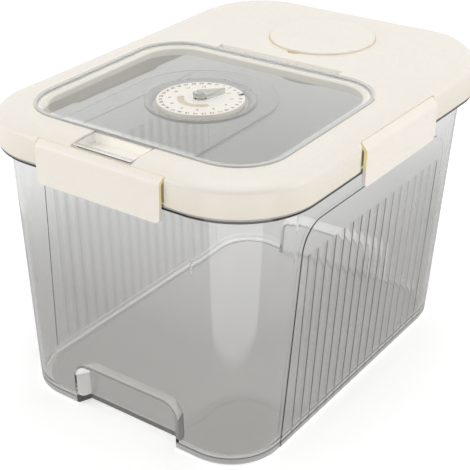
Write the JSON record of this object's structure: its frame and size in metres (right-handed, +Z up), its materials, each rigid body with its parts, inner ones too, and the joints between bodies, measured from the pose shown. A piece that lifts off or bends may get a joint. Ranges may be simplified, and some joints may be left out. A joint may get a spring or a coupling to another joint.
{
  "type": "rice storage bin",
  "caption": "Tapered see-through rice bin with a latched lid, a flip window with a date dial and tab, a lift-out moisture cap, fluted sides and grip recesses.",
  "frame": {"origin": "middle of the underside of the bin, on the floor", "axes": "+Z up, front with the window tab towards -Y, +X to the right seen from the front"},
  "size_m": [0.2544, 0.3414, 0.2279],
  "materials": {
    "smoky_clear": "smoky transparent",
    "window_clear": "smoky transparent",
    "pointer_clear": "clear, polished",
    "cream": "satin",
    "dial_cream": "satin, printed",
    "cup_white": "satin",
    "silicone": "translucent silicone",
    "steel": "drawn rod"
  },
  "bodies": {
    "bin": {"bin_body": "smoky_clear"},
    "lid": {"lid_frame": "cream", "lid_seal": "silicone", "window_seal": "silicone", "window_hinge_pin": "steel", "moisture_cup": "cup_white"},
    "front_latch_body": {"front_latch": "cream"},
    "rear_latch_body": {"rear_latch": "cream"},
    "left_latch_body": {"left_latch": "cream"},
    "right_latch_body": {"right_latch": "cream"},
    "window": {"window_panel": "window_clear"},
    "dial": {"dial_disc": "dial_cream"},
    "pointer": {"dial_pointer": "pointer_clear", "dial_retainer": "cream"},
    "cap_body": {"cap": "cream", "cap_seal": "silicone"}
  },
  "joints": [
    {"name": "lid_lift", "type": "slide", "parent": "bin", "child": "lid", "axis": [0, 0, 1], "range_m": [0, 0.06]},
    {"name": "front_latch_hinge", "type": "hinge", "parent": "lid", "child": "front_latch_body", "pos_m": [0, -0.166, 0.21739], "axis": [-1, 0, 0], "range_deg": [-3, 105]},
    {"name": "rear_latch_hinge", "type": "hinge", "parent": "lid", "child": "rear_latch_body", "pos_m": [0, 0.166, 0.22439], "axis": [1, 0, 0], "range_deg": [-3, 105]},
    {"name": "left_latch_hinge", "type": "hinge", "parent": "lid", "child": "left_latch_body", "pos_m": [-0.1225, 0, 0.21875], "axis": [0, 1, 0], "range_deg": [-3, 105]},
    {"name": "right_latch_hinge", "type": "hinge", "parent": "lid", "child": "right_latch_body", "pos_m": [0.1225, 0, 0.21875], "axis": [0, -1, 0], "range_deg": [-3, 105]},
    {"name": "window_hinge", "type": "hinge", "parent": "lid", "child": "window", "pos_m": [0, 0.03795, 0.22179], "axis": [-1, 0, 0], "range_deg": [0, 100]},
    {"name": "dial_turn", "type": "hinge", "parent": "window", "child": "dial", "pos_m": [0, -0.05799, 0.22238], "axis": [0, -0.0209, 0.9998], "continuous": true},
    {"name": "pointer_turn", "type": "hinge", "parent": "window", "child": "pointer", "pos_m": [0, -0.05799, 0.22238], "axis": [0, -0.0209, 0.9998], "continuous": true},
    {"name": "cap_lift", "type": "slide", "parent": "lid", "child": "cap_body", "axis": [0, -0.0209, 0.9998], "range_m": [0, 0.025]}
  ]
}
